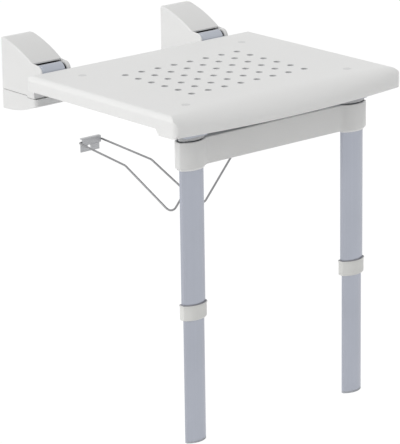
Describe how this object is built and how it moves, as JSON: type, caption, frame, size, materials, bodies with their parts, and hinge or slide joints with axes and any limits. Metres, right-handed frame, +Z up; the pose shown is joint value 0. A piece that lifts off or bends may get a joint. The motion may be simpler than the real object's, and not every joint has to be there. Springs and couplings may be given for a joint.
{
  "type": "fold down wall seat",
  "caption": "White moulded seat that folds up on two wall hinges, with telescopic aluminium front legs on a crossbar and a bent steel fold link.",
  "frame": {"origin": "middle of the four wall screws, on the wall plane", "axes": "+X along the wall, to the right for someone who faces it; +Y into the wall, so the seat reaches out along -Y; +Z up"},
  "size_m": [0.42, 0.449, 0.52],
  "materials": {
    "seat_white": "satin moulded",
    "cap_grey": "satin moulded",
    "crossbar_white": "satin moulded",
    "cover_white": "satin moulded",
    "lower_cover_white": "satin moulded",
    "leg_aluminium": "satin anodised",
    "rail_aluminium": "mill",
    "arm_aluminium": "satin anodised",
    "head_aluminium": "cast",
    "bracket_steel": "satin",
    "plate_steel": "satin",
    "rod_steel": "satin",
    "pin_steel": "ground",
    "screw_steel": "bright",
    "bush_plastic": "matte",
    "guide_plastic": "matte",
    "collar_plastic": "satin",
    "glide_plastic": "matte",
    "foot_rubber": "matte"
  },
  "bodies": {
    "wall": {"wall_plate_left": "bracket_steel", "wall_plate_right": "bracket_steel", "upper_cover_left": "cover_white", "upper_cover_right": "cover_white", "lower_cover_left": "lower_cover_white", "lower_cover_right": "lower_cover_white", "hinge_pin_left": "pin_steel", "hinge_pin_right": "pin_steel", "link_wall_plate": "plate_steel"},
    "seat": {"seat_shell": "seat_white", "seat_screws": "screw_steel", "screw_caps": "cap_grey", "seat_arm_left": "arm_aluminium", "seat_arm_right": "arm_aluminium", "hinge_bushes_left": "bush_plastic", "hinge_bushes_right": "bush_plastic", "link_guide_left": "guide_plastic", "link_guide_right": "guide_plastic"},
    "legs": {"crossbar_cover": "crossbar_white", "crossbar_rail": "rail_aluminium", "leg_head_left": "head_aluminium", "leg_pin_left": "pin_steel", "upper_leg_left": "leg_aluminium", "leg_collar_left": "collar_plastic", "lock_screw_left": "screw_steel", "leg_head_right": "head_aluminium", "leg_pin_right": "pin_steel", "upper_leg_right": "leg_aluminium", "leg_collar_right": "collar_plastic", "lock_screw_right": "screw_steel"},
    "lower_leg_left": {"lower_leg_left": "leg_aluminium", "leg_glide_left": "glide_plastic", "foot_left": "foot_rubber"},
    "lower_leg_right": {"lower_leg_right": "leg_aluminium", "leg_glide_right": "glide_plastic", "foot_right": "foot_rubber"},
    "link": {"link_rod": "rod_steel"}
  },
  "joints": [
    {"name": "seat_hinge", "type": "hinge", "parent": "wall", "child": "seat", "pos_m": [0, -0.084, 0.013], "axis": [-1, 0, 0], "range_deg": [0, 90]},
    {"name": "leg_fold", "type": "hinge", "parent": "seat", "child": "legs", "pos_m": [0, -0.3885, -0.033], "axis": [-1, 0, 0], "range_deg": [-90, 0]},
    {"name": "link_swing", "type": "hinge", "parent": "wall", "child": "link", "pos_m": [0, -0.0024, -0.132], "axis": [-1, 0, 0], "range_deg": [0, 58.5]},
    {"name": "left_leg_height", "type": "slide", "parent": "legs", "child": "lower_leg_left", "axis": [0, 0, 1], "range_m": [-0.084, 0.066]},
    {"name": "right_leg_height", "type": "slide", "parent": "legs", "child": "lower_leg_right", "axis": [0, 0, 1], "range_m": [-0.084, 0.066]}
  ],
  "couplings": [
    {"joint": "leg_fold", "follows": "seat_hinge", "ratio": -1},
    {"joint": "link_swing", "follows": "seat_hinge", "ratio": 0.65}
  ]
}
